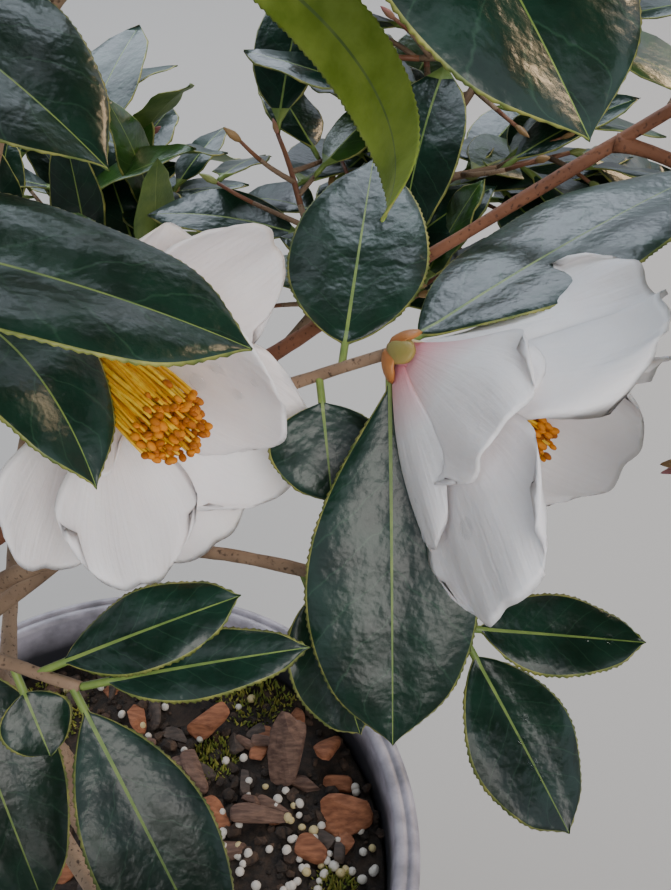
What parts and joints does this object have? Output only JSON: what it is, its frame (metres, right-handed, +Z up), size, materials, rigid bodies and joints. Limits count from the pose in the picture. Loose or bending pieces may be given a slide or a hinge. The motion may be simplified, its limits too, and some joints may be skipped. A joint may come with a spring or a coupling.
{
  "type": "potted camellia shrub",
  "caption": "Young evergreen camellia shrub in bloom, with glossy dark leaves and white semi-double flowers, standing in a round plastic nursery pot.",
  "frame": {"origin": "centre of the pot's flat underside, on the surface it stands on", "axes": "+Z up; the crown is open towards -Y and +X, where its two largest blooms face"},
  "size_m": [0.5159, 0.4303, 0.6678],
  "materials": {
    "pot_plastic": "moulded polypropylene, dusty, satin",
    "potting_mix": "loose bark-based mix with pale grains",
    "bark": "smooth thin bark with fine cracks",
    "foliage": "glossy waxy leaves"
  },
  "bodies": {
    "root": {"nursery_pot": "pot_plastic", "potting_soil": "potting_mix", "trunk": "bark", "bough_leader": "bark", "bough_right_middle": "bark", "bough_right_low": "bark", "bough_front_low": "bark", "bough_front_middle": "bark", "bough_front_high": "bark", "bough_right_high": "bark", "bough_right_side": "bark", "bough_upper_right": "bark", "bough_left_high": "bark", "bough_left_low": "bark", "bough_front_left": "bark", "bough_front_right": "bark", "bough_back_left": "bark", "bough_back_high": "bark", "bough_back_right": "bark", "bough_back_low": "bark", "foliage_leader": "foliage", "foliage_right_middle": "foliage", "foliage_right_low": "foliage", "foliage_front_low": "foliage", "foliage_front_middle": "foliage", "foliage_front_high": "foliage", "foliage_right_high": "foliage", "foliage_right_side": "foliage", "foliage_upper_right": "foliage", "foliage_left_high": "foliage", "foliage_left_low": "foliage", "foliage_front_left": "foliage", "foliage_front_right": "foliage", "foliage_back_left": "foliage", "foliage_back_high": "foliage", "foliage_back_right": "foliage", "foliage_back_low": "foliage"}
  },
  "joints": []
}
